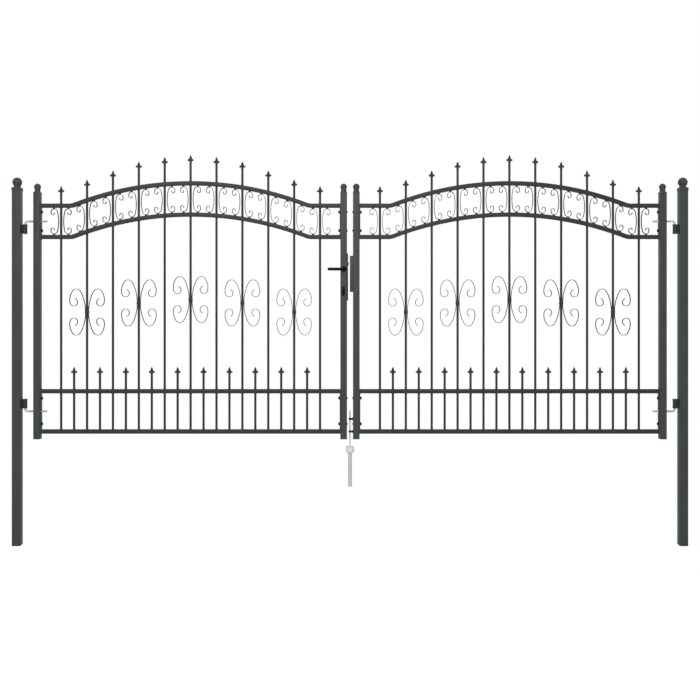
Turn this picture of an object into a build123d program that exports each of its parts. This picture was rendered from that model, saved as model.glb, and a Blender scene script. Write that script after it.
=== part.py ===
from build123d import *
import os
from math import ceil, cos, radians, sin, sqrt

# A double driveway gate of welded steel: two leaves with an arched top, hung between two posts.
# Lengths are in millimetres. X runs along the gate, the leaves open towards +Y, and Z is up.
# The origin is the middle of the left post's foot, which stands below ground.

# Posts
opening = 3960.0  # clear width between the two posts
post_side = 50.0
post_wall = 2.0
post_length = 2145.0
buried = 600.0  # how much of a post is below ground
ball_post = 28.5  # radius of the ball on a post
neck_post = 20.0
neck_height = 13.0
cap_skirt = 13.0  # how far a cap reaches down over its post
cap_lip = 5.0
cap_rim = 3.0
cap_wall = 1.0
plug_plate = 4.0
plug_depth = 20.0
plug_fit = 0.2

# Leaf frame
ground_gap = 40.0  # under the leaves
hinge_gap = 77.0  # from a post to its leaf
meeting_gap = 36.0  # between the two leaves
stile_side = 40.0
stile_wall = 2.0
stile_length = 1478.0
ball_stile = 20.25
neck_stile = 17.0
neck_stile_height = 19.0
cap_plate = 5.0
rail_side = 25.0
bottom_rail_rise = 44.5  # from the stile's foot to the rail's middle
middle_rail_rise = 242.5  # from the bottom rail to the middle rail
arch_foot_rise = 1171.5  # from the bottom rail to the ends of the arched rail
frieze_rise = 188.5  # from the arched rail to the top rail
arch_rise = 135.0
arch_radius = 1950.0
arch_bend = 90.0  # radius where the arch meets its level ends
end_plate = 4.0
end_plate_width = 30.0

# Bars, drawn with eight sides because there are so many
bar_across = 14.0
bar_fit = 0.2  # between a bar and its hole or collar
bend_count = 3  # straight lengths in a rod's bend
bar_count = 11
end_bay = 118.5  # from an end plate to the first bar
overhang = (140.0, 134.0, 126.0, 104.0, 95.0, 88.0)  # top rail to a point's cross, middle bar first
short_overhang = 116.0  # middle rail to a short point's cross

# Spear points, measured from the middle of their cross
point_tip = 31.0
point_stem = 14.0
point_width = 19.0
point_top = 2.0
cross_reach = 18.5
cross_height = 13.0
cross_depth = 11.0

# Scrolls of flat strip. Each step is a bend (radius, turn) or a straight run (length, 0).
strip = 3.0
strip_depth = 12.0
chord_turn = 46.0  # the most that one straight length of a curve turns
frieze_waist = 15.0
frieze_steps = ((260, 12), (24.3, 78), (17.5, 90), (7.5, 0), (11, 90), (8.5, 90), (6, 0))
frieze_rise_steps = 2  # how many of the steps lead up to the scroll's crown
boss_width = 14.0
boss_fit = 0.05
rosette_steps = (
    (280, 20.9), (110, 17), (28.5, 52.1), (26, 55), (98, 35), (60, 20), (23, 70), (22, 90), (24, 72)
)
rosette_heights = (839.0, 819.0, 764.0)  # above the leaf's foot, middle one first
collar_wall = 2.3
collar_height = 19.0

# Hooked hinge rods and the brackets that they turn in
pin_offset = 23.0  # from the post to the pin's middle
rod = 12.0
rod_fit = 0.25
rod_bend = 16.0
rod_inner = 35.0  # how far a rod stands past the end plate
upper_rod_rise = 1310.0  # above the leaf's foot
lower_rod_rise = 166.0
bracket_height = 56.0
bracket_gap = 2.0  # between a rod's bend and the bracket's eye
bracket_plate = 4.0
bracket_plate_width = 40.0
bracket_web = 12.0
eye = 27.0
pin_past = 4.0  # how far the pin stands past the eye

# Lock in the left leaf, heights above the leaf's foot
lock_plate = 6.4
lock_plate_width = 24.0
lock_plate_low = 832.0
lock_plate_high = 1117.0
case_width = 15.0
case_depth = 36.0
case_margin = 27.0  # between the ends of the face plate and of the case
lock_fit = 0.3
lever_rise = 1023.0
lever_set = 18.0  # from the stile's edge to the spindle
lever_length = 98.0  # from the spindle to the tip
lever_across = 14.0
lever_stand = 38.0  # from the stile's face to the grip's middle
lever_bend = 14.0
spindle = 10.0
spindle_room = 1.0  # between the spindle's sides and its round hole
hub = 20.0
hub_length = 10.0
rose = 32.0
rose_thick = 5.0
rose_sides = 16  # a rose and the lever's hub in it
rose_room = 0.6
latch_rise = 1055.0
latch_height = 18.0
latch_width = 10.0
latch_reach = 12.0  # how far the tongue stands out of the stile
latch_length = 38.0
latch_bevel = 4.0
cylinder_rise = 890.0
cylinder_set = 22.0
cylinder_width = 12.0
cylinder_height = 33.0
shield_width = 19.0
shield_height = 54.0
shield_thick = 5.0
shield_proud = 3.0
keep_low = 885.0
keep_high = 1103.0
keep_reach = 19.0
keep_width = 30.0
keep_wall = 2.5
keep_room = 2.0  # around the latch in the keep's slot

# Drop bolt on the right leaf and its socket in the ground
bolt = 9.0
bolt_fit = 0.3
bolt_gap = 6.0  # between the raised bolt and the socket
bolt_drop = 25.0  # how far the bolt comes down before its bend meets the upper eye
bolt_bend = 9.0
bolt_handle = 45.0
eye_rises = (44.5, 120.0)  # above the leaf's foot
eye_height = 12.0
eye_wall = 3.5
eye_base = 20.0
socket_sunk = 3.0  # the socket's rim below ground level
socket_head = 52.0
socket_head_height = 41.0
socket_tube = 24.0
socket_bore = 16.0
socket_mouth = 26.0
socket_length = 244.0
socket_floor = 8.0
socket_edge = 9.0

# Worked out from the sizes above
post_pitch = opening + post_side
gate_x = post_pitch / 2
leaf_foot = buried + ground_gap
leaf_inner = meeting_gap / 2
leaf_outer = opening / 2 - hinge_gap
leaf_middle = (leaf_inner + leaf_outer) / 2
stile_step = (leaf_outer - leaf_inner - stile_side) / 2  # leaf's middle to a stile's middle
rail_length = 2 * stile_step - stile_side - 2 * end_plate
bar_pitch = (rail_length - 2 * end_bay) / (bar_count - 1)
pin_x = opening / 2 - pin_offset
bottom_rail_z = leaf_foot + bottom_rail_rise
middle_rail_z = bottom_rail_z + middle_rail_rise
arch_foot_z = bottom_rail_z + arch_foot_rise
top_foot_z = arch_foot_z + frieze_rise
arch_end = sqrt(2 * arch_rise * (arch_radius + arch_bend) - arch_rise**2)
bar_xs = [(i - (bar_count - 1) / 2) * bar_pitch for i in range(bar_count)]
short_xs = [(a + b) / 2 for a, b in zip(bar_xs, bar_xs[1:])]


STANDING = (Align.CENTER, Align.CENTER, Align.MIN)


def block(x, y, z, at=(0, 0, 0)):
    """A plain block about a point."""
    return Pos(*at) * Box(x, y, z)


def group(shapes):
    """Like pieces that don't touch, kept together under one name."""
    return Compound([s for shape in shapes for s in shape.solids()])


def on_side(shape, side):
    """A shape modelled to the right of the gate's middle, moved there or mirrored to the left."""
    turned = shape if side > 0 else mirror(shape, about=Plane.YZ)
    return Pos(gate_x, 0, 0) * turned


def in_leaf(shape, side):
    """A shape modelled about a leaf's own middle, moved into the left or the right leaf."""
    return Pos(gate_x + side * leaf_middle, 0, 0) * shape


def arch_height(x):
    """How far the arch has risen at a distance from the leaf's middle."""
    x = abs(x)
    if x >= arch_end:
        return 0.0
    if x > arch_end * arch_radius / (arch_radius + arch_bend):
        return arch_bend - sqrt(arch_bend**2 - (arch_end - x) ** 2)
    return arch_rise - arch_radius + sqrt(arch_radius**2 - x**2)


def arch_slope(x):
    """The arch's slope in degrees, on its round stretch and on its level ends."""
    if abs(x) >= arch_end:
        return 0.0
    tangent = -x / sqrt(arch_radius**2 - x**2)
    return Vector(1, 0, 0).get_signed_angle(Vector(1, 0, tangent), Vector(0, -1, 0))


def square_tube(side, wall, length):
    """A square tube standing on its end."""
    outside = Box(side, side, length, align=STANDING)
    return outside - Box(side - 2 * wall, side - 2 * wall, length, align=STANDING)


def frustum(low, high, height):
    """A square block whose side changes evenly from its foot to its top."""
    step = (low - high) / 2
    far = low - step
    align = (Align.CENTER, Align.MIN, Align.CENTER)
    return Rot(90, 0, 0) * Wedge(low, height, low, step, step, far, far, align=align)


def foot_plug(side, wall):
    """The plug in a tube's lower end: a plate over the cut edge and a spigot inside."""
    inside = side - 2 * wall - 2 * plug_fit
    spigot = Pos(0, 0, plug_plate) * Box(inside, inside, plug_depth, align=STANDING)
    return Box(side, side, plug_plate, align=STANDING) + spigot


def turned_ball(radius, neck, neck_height):
    """A ball on a round neck."""
    centre = neck_height + sqrt(radius**2 - neck**2)
    stalk = Cylinder(neck, centre, align=STANDING)
    return stalk + Pos(0, 0, centre) * Sphere(radius)


def post_cap():
    """A cap over a post's top: a square collar that widens upwards, a neck and a ball."""
    low, high = post_side + 2 * cap_wall, post_side + 5 * cap_wall
    collar = Pos(0, 0, -cap_skirt) * frustum(low, high, cap_skirt)
    collar += Box(high, high, cap_lip, align=STANDING)
    collar += Pos(0, 0, cap_lip) * frustum(high, high - 2 * cap_rim, cap_rim)
    room = post_side + 2 * plug_fit
    collar -= Pos(0, 0, -cap_skirt) * Box(room, room, cap_skirt, align=STANDING)
    return collar + Pos(0, 0, cap_lip + cap_rim) * turned_ball(ball_post, neck_post, neck_height)


def stile_cap():
    """A cap in a stile's top: a spigot, a thin square plate chamfered to a neck, and a ball."""
    wide = stile_side + 2 * cap_wall
    inside = stile_side - 2 * stile_wall - 2 * plug_fit
    cap = Pos(0, 0, -plug_depth) * Box(inside, inside, plug_depth, align=STANDING)
    cap += Box(wide, wide, cap_plate, align=STANDING)
    cap += Pos(0, 0, cap_plate) * frustum(wide, 2 * neck_stile, cap_plate)
    return cap + Pos(0, 0, 2 * cap_plate) * turned_ball(ball_stile, neck_stile, neck_stile_height)


def sided(across, sides):
    """A round section drawn with an even number of sides, its flats facing along the axes."""
    return RegularPolygon(across / 2, sides, major_radius=False, rotation=180 / sides)


def octagon(across):
    """The section of a round bar or rod, drawn with eight sides."""
    return sided(across, 8)


def rod_hole(length):
    """A hole along the gate for a hinge rod."""
    return extrude(Plane.YZ * octagon(rod + 2 * rod_fit), length / 2, both=True)


def bent_rod(across, points, radius):
    """A rod bent to a radius at its corners, each bend drawn as short straight lengths."""
    route = [Vector(*points[0])]
    for before, corner, after in zip(points, points[1:], points[2:]):
        back = (Vector(*before) - Vector(*corner)).normalized()
        ahead = (Vector(*after) - Vector(*corner)).normalized()
        centre = Vector(*corner) + (back + ahead) * radius
        for i in range(bend_count + 1):
            turn = radians(90 * i / bend_count)
            route.append(centre - ahead * radius * cos(turn) - back * radius * sin(turn))
    route.append(Vector(*points[-1]))
    section = Plane(route[0], z_dir=route[1] - route[0]) * octagon(across)
    return sweep(section, path=Polyline(*route), transition=Transition.RIGHT)


def leaf_stile(hinge, lock=False):
    """A stile of the leaf, with rod holes on the hinge side or the lock's cut-outs."""
    tube = square_tube(stile_side, stile_wall, stile_length - plug_plate)
    tube = Pos(0, 0, leaf_foot + plug_plate) * tube
    if hinge:
        for rise in (upper_rod_rise, lower_rod_rise):
            tube -= Pos(0, 0, leaf_foot + rise) * rod_hole(2 * stile_side)
    if lock:
        tube -= lock_room()
    return tube


def end_plates():
    """The four plates on the inner faces of a leaf's stiles that its rails are welded to."""
    plates = []
    lower = (bottom_rail_z, middle_rail_z)
    upper = (arch_foot_z, top_foot_z)
    for low, high in (lower, upper):
        for side in (-1, 1):
            at = (side * (rail_length + end_plate) / 2, 0, (low + high) / 2)
            plate = block(end_plate, end_plate_width, high - low + rail_side, at)
            if side > 0:
                for rise in (upper_rod_rise, lower_rod_rise):
                    plate -= Pos(at[0], 0, leaf_foot + rise) * rod_hole(4 * end_plate)
            plates.append(plate)
    return group(plates)


def bar_prism(z_low, z_high, grow=0.0):
    """An upright bar, or the hole for one."""
    return extrude(Plane.XY.offset(z_low) * octagon(bar_across + 2 * grow), z_high - z_low)


def straight_rail(z, xs):
    """A level rail, bored for the bars that pass through it."""
    rail = block(rail_length, rail_side, rail_side, (0, 0, z))
    holes = [Pos(x, 0, 0) * bar_prism(z - rail_side, z + rail_side, bar_fit) for x in xs]
    return rail - holes if holes else rail


def arched_rail(foot_z):
    """A rail with level ends, a bend at each side and one long arch, bored for the tall bars."""
    tangent_x = arch_end * arch_radius / (arch_radius + arch_bend)
    tangent_z = arch_height(tangent_x)
    half = rail_length / 2
    with BuildSketch(Plane.XZ) as face:
        with BuildLine() as middle:
            Line((-half, 0), (-arch_end, 0))
            RadiusArc((-arch_end, 0), (-tangent_x, tangent_z), -arch_bend)
            RadiusArc((-tangent_x, tangent_z), (tangent_x, tangent_z), arch_radius)
            RadiusArc((tangent_x, tangent_z), (arch_end, 0), -arch_bend)
            Line((arch_end, 0), (half, 0))
        trace(middle.edges(), rail_side)
    rail = Pos(0, 0, foot_z) * extrude(face.sketch, rail_side / 2, both=True)
    low, high = foot_z - rail_side, foot_z + arch_rise + rail_side
    return rail - [Pos(x, 0, 0) * bar_prism(low, high, bar_fit) for x in bar_xs]


def cross_z(i):
    """Height of the cross on a tall bar's spear point."""
    step = round(abs(i - (bar_count - 1) / 2))
    return top_foot_z + arch_height(bar_xs[i]) + overhang[min(step, len(overhang) - 1)]


def tall_bars():
    low = bottom_rail_z + rail_side / 2
    return group([Pos(x, 0, 0) * bar_prism(low, cross_z(i) - point_stem) for i, x in enumerate(bar_xs)])


def short_bars():
    low = bottom_rail_z + rail_side / 2
    high = middle_rail_z + short_overhang - point_stem
    return group([Pos(x, 0, 0) * bar_prism(low, high) for x in short_xs])


def spear_point():
    """A forged point: a square stem that swells to the head, and a short arm at each side."""
    swell = point_stem + cross_height / 2
    point = Pos(0, 0, -point_stem) * frustum(bar_across, point_width, swell)
    point += Pos(0, 0, cross_height / 2) * frustum(point_width, point_top, point_tip - cross_height / 2)
    return point + Box(2 * cross_reach, cross_depth, cross_height)


def spear_points():
    point = spear_point()
    tall = [Pos(x, 0, cross_z(i)) * point for i, x in enumerate(bar_xs)]
    short = [Pos(x, 0, middle_rail_z + short_overhang) * point for x in short_xs]
    return group(tall + short)


def half_scroll(waist, steps):
    """Points along half a scroll: up from its waist, over the crown and round the curl."""
    x, z, heading = waist, 0.0, 90.0
    points = [(x, z)]
    for size, turn in steps:
        count = max(1, ceil(turn / chord_turn))
        part = turn / count
        length = 2 * size * sin(radians(part / 2)) if turn else size
        for _ in range(count):
            heading -= part / 2
            x += length * cos(radians(heading))
            z += length * sin(radians(heading))
            heading -= part / 2
            points.append((x, z))
    return points


def c_scroll(waist, steps):
    """A scroll of flat strip, the same above and below its waist, opening away from the bar."""
    upper = half_scroll(waist, steps)
    lower = [(x, -z) for x, z in reversed(upper[1:])]
    with BuildSketch(Plane.XZ) as face:
        with BuildLine() as middle:
            Polyline(*lower, *upper)
        trace(middle.edges(), strip)
    return extrude(face.sketch, strip_depth / 2, both=True)


def frieze_scrolls():
    """The scrolls between the two arched rails, one each side of every bar, with their bosses."""
    plain = {1: c_scroll(frieze_waist, frieze_steps)}
    plain[-1] = mirror(plain[1], about=Plane.YZ)
    crown_x, crown_z = half_scroll(frieze_waist, frieze_steps[:frieze_rise_steps])[-1]
    crown_radius = frieze_steps[frieze_rise_steps][0] + strip / 2
    deep = (frieze_rise - rail_side) / 2 - crown_z + strip / 2
    scrolls = []
    for bar_x in bar_xs:
        for side in (-1, 1):
            x = bar_x + side * crown_x
            scroll = Pos(bar_x, 0, arch_foot_z + frieze_rise / 2 + arch_height(x)) * plain[side]
            for up in (-1, 1):
                foot_x = x - up * crown_radius * sin(radians(arch_slope(x)))
                slope = arch_slope(foot_x)
                rail_z = (top_foot_z if up > 0 else arch_foot_z) + arch_height(foot_x)
                normal = Vector(-sin(radians(slope)), 0, cos(radians(slope))) * -up
                face = Vector(foot_x, 0, rail_z) + normal * (rail_side / 2)
                centre = face + normal * (deep / 2 + boss_fit)
                scroll += Pos(*centre) * Rot(0, -slope, 0) * Box(boss_width, strip_depth, deep)
            scrolls.append(scroll)
    return group(scrolls)


def rosette():
    """Two scrolls back to back, held to the bar by a collar."""
    waist = bar_across / 2 + bar_fit + strip / 2
    right = c_scroll(waist, rosette_steps)
    reach_x = 2 * (waist + strip / 2 + collar_wall)
    reach_y = bar_across + 2 * (bar_fit + collar_wall)
    collar = Box(reach_x, reach_y, collar_height)
    body = collar + right + mirror(right, about=Plane.YZ)
    return body - bar_prism(-collar_height, collar_height, bar_fit)


def rosettes():
    whole = rosette()
    middle = (bar_count - 1) // 2
    pieces = []
    for step, rise in enumerate(rosette_heights):
        for i in sorted({middle - 2 * step, middle + 2 * step}):
            if 0 <= i < bar_count:
                pieces.append(Pos(bar_xs[i], 0, leaf_foot + rise) * whole)
    return group(pieces)


def hinge_rod(rise, up):
    """A rod through the stile, hooked up or down into its bracket's eye, where its pin is round."""
    start = leaf_middle + rail_length / 2 - rod_inner
    pin_low = rod_bend + bracket_gap / 2
    pin_length = bracket_height + bracket_gap / 2 + pin_past
    hook = bent_rod(rod, [(start, 0, 0), (pin_x, 0, 0), (pin_x, 0, up * pin_low)], rod_bend)
    hook += Pos(pin_x, 0, up * (pin_low + pin_length / 2)) * Cylinder(rod / 2, pin_length)
    return Pos(0, 0, leaf_foot + rise) * hook


def hinge_rods():
    return group([hinge_rod(upper_rod_rise, -1), hinge_rod(lower_rod_rise, 1)])


def bracket():
    """A bracket on the post: a plate, a web and an eye for the pin."""
    body = Cylinder(eye / 2, bracket_height)
    body += block(pin_offset, bracket_web, bracket_height, (pin_offset / 2, 0, 0))
    plate_x = pin_offset - bracket_plate / 2
    body += block(bracket_plate, bracket_plate_width, bracket_height, (plate_x, 0, 0))
    return body - Cylinder(rod / 2 + rod_fit, 2 * bracket_height)


def brackets():
    one = bracket()
    away = rod_bend + bracket_gap + bracket_height / 2
    upper = Pos(pin_x, 0, leaf_foot + upper_rod_rise - away) * one
    lower = Pos(pin_x, 0, leaf_foot + lower_rod_rise + away) * one
    return group([upper, lower])


def cylinder_profile(grow=0.0):
    """The outline of the key cylinder."""
    return Rectangle(cylinder_width + 2 * grow, cylinder_height + 2 * grow)


def lock_across(sketch, rise, set_back, length):
    """A shape that runs through the lock stile from front to back."""
    x = stile_side / 2 - set_back
    return Pos(x, 0, leaf_foot + rise) * extrude(Plane.XZ * sketch, length / 2, both=True)


def lock_box(grow=0.0):
    """The lock's case inside the stile."""
    low, high = lock_plate_low + case_margin - grow, lock_plate_high - case_margin + grow
    size = (case_depth + grow, case_width + 2 * grow, high - low)
    at = (stile_side / 2 - size[0] / 2, 0, leaf_foot + (low + high) / 2)
    return block(*size, at)


def lock_room():
    """What the lock takes out of its stile: the case, the spindle and the key cylinder."""
    room = lock_box(lock_fit)
    room += lock_across(Circle(spindle / 2 + spindle_room), lever_rise, lever_set, 2 * stile_side)
    return room + lock_across(cylinder_profile(lock_fit), cylinder_rise, cylinder_set, 2 * stile_side)


def lock_case():
    """The case with its face plate, pierced for the latch, the spindle and the cylinder."""
    tall = lock_plate_high - lock_plate_low
    at = (stile_side / 2 + lock_plate / 2, 0, leaf_foot + (lock_plate_low + lock_plate_high) / 2)
    plate = block(lock_plate, lock_plate_width, tall, at)
    ends = plate.edges().filter_by(Axis.Y).group_by(Axis.X)[-1]
    plate = fillet(ends, 0.8 * lock_plate)
    case = plate + lock_box()
    length = latch_length + latch_reach
    channel_at = (stile_side / 2 + latch_reach - length / 2, 0, leaf_foot + latch_rise)
    case -= block(length, latch_width + 2 * lock_fit, latch_height + 2 * lock_fit, channel_at)
    case -= lock_across(Circle(spindle / 2 + spindle_room), lever_rise, lever_set, 2 * stile_side)
    return case - lock_across(cylinder_profile(lock_fit), cylinder_rise, cylinder_set, 2 * stile_side)


def latch():
    """The spring latch's tongue, bevelled at its tip."""
    at = (stile_side / 2 + latch_reach - latch_length / 2, 0, leaf_foot + latch_rise)
    tongue = block(latch_length, latch_width, latch_height, at)
    tip = tongue.faces().sort_by(Axis.X)[-1].edges().sort_by(Axis.Y)[0]
    return chamfer(tip, latch_bevel)


def lock_cylinder():
    """The key cylinder through the stile, with an oval shield on each face."""
    length = stile_side + 2 * (shield_thick + shield_proud)
    body = lock_across(cylinder_profile(), cylinder_rise, cylinder_set, length)
    outline = Plane.XZ * SlotOverall(shield_height, shield_width, rotation=90)
    shield = extrude(outline, shield_thick / 2, both=True)
    shield_y = (stile_side + shield_thick) / 2
    for y in (-shield_y, shield_y):
        body += Pos(stile_side / 2 - cylinder_set, y, leaf_foot + cylinder_rise) * shield
    return body


def lever_handles():
    """The two lever handles on one spindle, front and back."""
    face = stile_side / 2 + lock_fit
    spindle_length = 2 * (face + lever_stand)
    body = extrude(Plane.XZ * octagon(spindle), spindle_length / 2, both=True)
    for side in (-1, 1):
        out = side * (face + lever_stand)
        root = (0, side * (face + hub_length / 2), 0)
        body += Pos(*root) * extrude(Plane.XZ * sided(hub, rose_sides), hub_length / 2, both=True)
        body += bent_rod(lever_across, [root, (0, out, 0), (-lever_length, out, 0)], lever_bend)
    return Pos(stile_side / 2 - lever_set, 0, leaf_foot + lever_rise) * body


def lever_roses():
    """The round roses that the levers turn in, one on each face of the stile."""
    ring = sided(rose, rose_sides) - sided(hub + 2 * rose_room, rose_sides)
    away = (stile_side + rose_thick) / 2
    one = lock_across(ring, lever_rise, lever_set, rose_thick)
    return group([Pos(0, y, 0) * one for y in (-away, away)])


def lock_keep():
    """The box on the other leaf that the tongue shuts against, with a slot in its face."""
    tall = keep_high - keep_low
    z = leaf_foot + (keep_low + keep_high) / 2
    keep = block(keep_reach, keep_width, tall, (leaf_inner - keep_reach / 2, 0, z))
    room = (keep_reach - 2 * keep_wall, keep_width - 2 * keep_wall, tall - 2 * keep_wall)
    keep -= block(*room, (leaf_inner - keep_reach / 2, 0, z))
    slot = (4 * keep_wall, latch_width + 2 * keep_room, latch_height + 2 * keep_room)
    keep -= block(*slot, (leaf_inner - keep_reach, 0, leaf_foot + latch_rise))
    return keep


def drop_bolt_z():
    """Height of the raised bolt's tip."""
    return buried - socket_sunk + bolt_gap


def drop_bolt():
    """The drop bolt, raised clear of its socket and bent over at the top as a handle."""
    top = leaf_foot + max(eye_rises) + eye_height / 2 + bolt_drop + bolt_fit + bolt_bend
    return bent_rod(bolt, [(0, 0, drop_bolt_z()), (0, 0, top), (0, bolt_handle, top)], bolt_bend)


def drop_bolt_eyes():
    """Two eyes on the right leaf's lock stile that guide the drop bolt."""
    outer = bolt + 2 * (bolt_fit + eye_wall)
    eyes = []
    for rise in eye_rises:
        ring = extrude(octagon(outer), eye_height / 2, both=True)
        ring += block(leaf_inner, outer, eye_height, (leaf_inner / 2, 0, 0))
        ring += block(eye_wall, eye_base, eye_base, (leaf_inner - eye_wall / 2, 0, 0))
        ring -= extrude(octagon(bolt + 2 * bolt_fit), eye_base, both=True)
        eyes.append(Pos(0, 0, leaf_foot + rise) * ring)
    return group(eyes)


def ground_socket():
    """The drop bolt's socket: a chamfered eight-sided head with a wide mouth, on a closed tube."""
    head = extrude(octagon(socket_head), -socket_head_height)
    ends = head.edges().filter_by(Plane.XY)
    socket = chamfer(ends, socket_edge)
    socket += extrude(octagon(socket_tube), -socket_length)
    socket -= extrude(octagon(socket_bore), socket_floor - socket_length)
    widen = (socket_mouth - socket_bore) / 2
    socket -= extrude(octagon(socket_mouth), -widen, taper=45)
    return Pos(0, 0, buried - socket_sunk) * socket


def posts():
    post = Pos(0, 0, plug_plate) * square_tube(post_side, post_wall, post_length - plug_plate)
    plug = foot_plug(post_side, post_wall)
    cap = Pos(0, 0, post_length) * post_cap()
    right = Pos(post_pitch, 0, 0)
    return {
        "left_post": post,
        "right_post": right * post,
        "post_plugs": group([plug, right * plug]),
        "post_caps": group([cap, right * cap]),
    }


def leaf_frame(name, side):
    """One leaf's frame and hinge rods."""
    hinge_x, lock_x = leaf_middle + stile_step, leaf_middle - stile_step
    plug = Pos(0, 0, leaf_foot) * foot_plug(stile_side, stile_wall)
    cap = Pos(0, 0, leaf_foot + stile_length) * stile_cap()
    lock_stile = Rot(0, 0, 180) * leaf_stile(False, lock=side < 0)
    return {
        f"{name}_hinge_stile": on_side(Pos(hinge_x, 0, 0) * leaf_stile(True), side),
        f"{name}_lock_stile": on_side(Pos(lock_x, 0, 0) * lock_stile, side),
        f"{name}_stile_plugs": on_side(group([Pos(x, 0, 0) * plug for x in (hinge_x, lock_x)]), side),
        f"{name}_stile_caps": on_side(group([Pos(x, 0, 0) * cap for x in (hinge_x, lock_x)]), side),
        f"{name}_end_plates": on_side(Pos(leaf_middle, 0, 0) * end_plates(), side),
        f"{name}_hinge_rods": on_side(hinge_rods(), side),
        f"{name}_brackets": on_side(brackets(), side),
    }


def leaf_lattice(name, side, pieces):
    """One leaf's rails, bars and ornaments, which are the same in both leaves."""
    return {f"{name}_{piece}": in_leaf(shape, side) for piece, shape in pieces.items()}


def lattice_pieces():
    return {
        "bottom_rail": straight_rail(bottom_rail_z, []),
        "middle_rail": straight_rail(middle_rail_z, bar_xs + short_xs),
        "arched_rail": arched_rail(arch_foot_z),
        "top_rail": arched_rail(top_foot_z),
        "tall_bars": tall_bars(),
        "short_bars": short_bars(),
        "spear_points": spear_points(),
        "frieze_scrolls": frieze_scrolls(),
        "rosettes": rosettes(),
    }


def lock_parts():
    """The lock, in the left leaf's lock stile."""
    stile = Pos(gate_x - leaf_middle + stile_step, 0, 0)
    made = {"lock_case": lock_case(), "latch": latch(), "lock_cylinder": lock_cylinder()}
    made["lever_handles"] = lever_handles()
    made["lever_roses"] = lever_roses()
    return {name: stile * shape for name, shape in made.items()}


def meeting_parts():
    """What the right leaf carries at the meeting gap, and the socket under it."""
    made = {"lock_keep": lock_keep(), "drop_bolt_eyes": drop_bolt_eyes()}
    made["drop_bolt"] = drop_bolt()
    made["ground_socket"] = ground_socket()
    return {name: Pos(gate_x, 0, 0) * shape for name, shape in made.items()}


def gate():
    parts = posts()
    pieces = lattice_pieces()
    for name, side in (("left", -1), ("right", 1)):
        parts |= leaf_frame(name, side)
        parts |= leaf_lattice(name, side, pieces)
    parts |= lock_parts()
    parts |= meeting_parts()
    return parts


os.makedirs("parts", exist_ok=True)
for node, shape in gate().items():
    export_step(shape, f"parts/{node}.step")
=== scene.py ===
from math import asin, cos, pi, radians, sin, sqrt

import bmesh
import bpy
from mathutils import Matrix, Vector


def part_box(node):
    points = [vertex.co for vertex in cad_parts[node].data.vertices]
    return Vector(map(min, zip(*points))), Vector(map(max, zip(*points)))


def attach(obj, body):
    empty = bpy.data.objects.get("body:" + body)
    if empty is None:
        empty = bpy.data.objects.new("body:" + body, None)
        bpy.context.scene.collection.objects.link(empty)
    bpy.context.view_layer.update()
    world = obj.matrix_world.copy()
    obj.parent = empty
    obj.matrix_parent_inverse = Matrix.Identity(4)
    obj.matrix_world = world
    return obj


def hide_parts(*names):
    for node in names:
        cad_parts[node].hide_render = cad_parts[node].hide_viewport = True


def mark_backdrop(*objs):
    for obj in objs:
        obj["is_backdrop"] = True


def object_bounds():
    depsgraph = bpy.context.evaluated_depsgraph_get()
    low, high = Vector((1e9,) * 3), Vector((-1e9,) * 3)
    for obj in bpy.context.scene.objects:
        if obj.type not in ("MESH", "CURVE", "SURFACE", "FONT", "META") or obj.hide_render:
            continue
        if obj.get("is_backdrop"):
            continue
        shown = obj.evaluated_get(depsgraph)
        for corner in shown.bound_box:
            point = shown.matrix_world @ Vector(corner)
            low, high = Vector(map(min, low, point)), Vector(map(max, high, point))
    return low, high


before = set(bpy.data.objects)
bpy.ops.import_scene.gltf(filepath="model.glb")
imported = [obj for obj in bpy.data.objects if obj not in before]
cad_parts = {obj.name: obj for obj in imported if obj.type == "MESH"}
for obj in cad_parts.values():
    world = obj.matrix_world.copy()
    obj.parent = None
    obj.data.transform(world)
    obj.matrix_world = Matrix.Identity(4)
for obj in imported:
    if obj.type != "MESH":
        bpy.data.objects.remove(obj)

cad_low, cad_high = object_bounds()


# Posts
# Two posts of rolled square steel tube, 50 mm across with a 2 mm wall and rounded corners.
# They are powder coated a dark grey-green and stand 600 mm deep in the ground.

def rounded(width, depth, corner, steps=4):
    """Outline of a square tube, flat bar or plate with rounded corners."""
    outline = []
    for quarter, (right, up) in enumerate(((1, 1), (-1, 1), (-1, -1), (1, -1))):
        x, y = right * (width / 2 - corner), up * (depth / 2 - corner)
        for step in range(steps + 1):
            turn = radians(90 * (quarter + step / steps))
            outline.append((x + corner * cos(turn), y + corner * sin(turn)))
    return outline


def level(outline, z, x=0.0):
    """An outline laid flat at a height."""
    return [Vector((x + u, v, z)) for u, v in outline]


def skinned(rings, round_and_round=False):
    """Metal over a row of rings, closed at both ends or joined back to the first ring."""
    count = len(rings[0])
    points = [point for ring in rings for point in ring]
    faces = []
    for row in range(len(rings) - (0 if round_and_round else 1)):
        low, high = row * count, (row + 1) % len(rings) * count
        for i in range(count):
            j = (i + 1) % count
            faces.append((low + i, low + j, high + j, high + i))
    if not round_and_round:
        faces.append(tuple(reversed(range(count))))
        faces.append(tuple(range(len(points) - count, len(points))))
    return points, faces


def square_tube(side, corner, wall, low, high, x):
    """A length of square tube standing upright, open at both ends."""
    outside = rounded(side, side, corner)
    inside = rounded(side - 2 * wall, side - 2 * wall, corner - wall)
    rings = [level(outside, low, x), level(outside, high, x), level(inside, high, x), level(inside, low, x)]
    return skinned(rings, round_and_round=True)


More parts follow.
